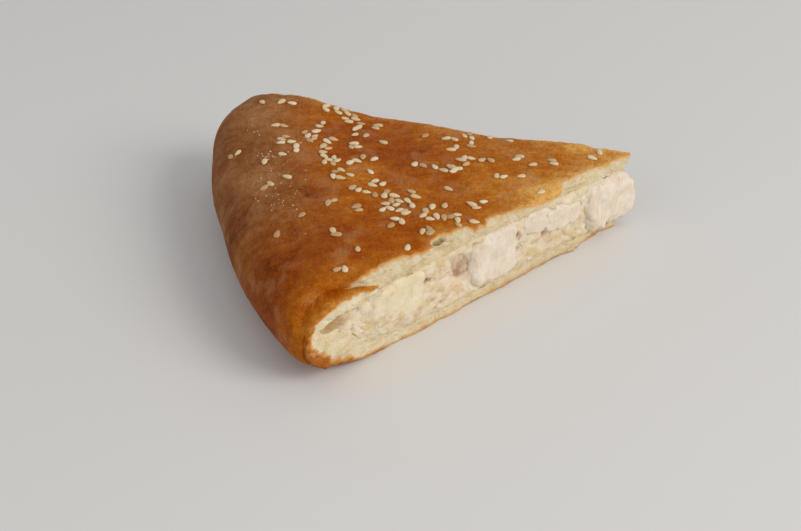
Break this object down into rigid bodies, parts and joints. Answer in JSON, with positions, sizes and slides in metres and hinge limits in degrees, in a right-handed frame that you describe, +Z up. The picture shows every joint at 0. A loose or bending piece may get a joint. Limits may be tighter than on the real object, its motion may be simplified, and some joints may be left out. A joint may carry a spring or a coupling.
{
  "type": "chicken pie slice",
  "caption": "Wedge of a flat round pie: browned dough lid with sesame seeds, dough base folded in at the rim, and a pale filling of minced and cut chicken with potato at both cut faces",
  "frame": {"origin": "middle of the footprint's bounding box, on the surface the slice rests on", "axes": "+X towards the slice's point, along the longest extent; the front cut faces -Y; +Z up, the shortest extent"},
  "size_m": [0.1382, 0.1314, 0.0311],
  "materials": {
    "crust": "egg-glazed baked yeast dough, satin",
    "dough": "baked yeast dough crumb, matte",
    "mince": "moist minced chicken and onion",
    "chicken": "cooked chicken breast, moist satin",
    "potato": "boiled potato, moist satin"
  },
  "bodies": {
    "root": {"lid": "crust", "base": "dough", "filling": "mince", "chicken_point": "chicken", "chicken_1": "chicken", "chicken_2": "chicken", "chicken_3": "chicken", "chicken_4": "chicken", "chicken_5": "chicken", "chicken_6": "chicken", "chicken_7": "chicken", "potato_1": "potato", "potato_2": "potato"}
  },
  "joints": []
}
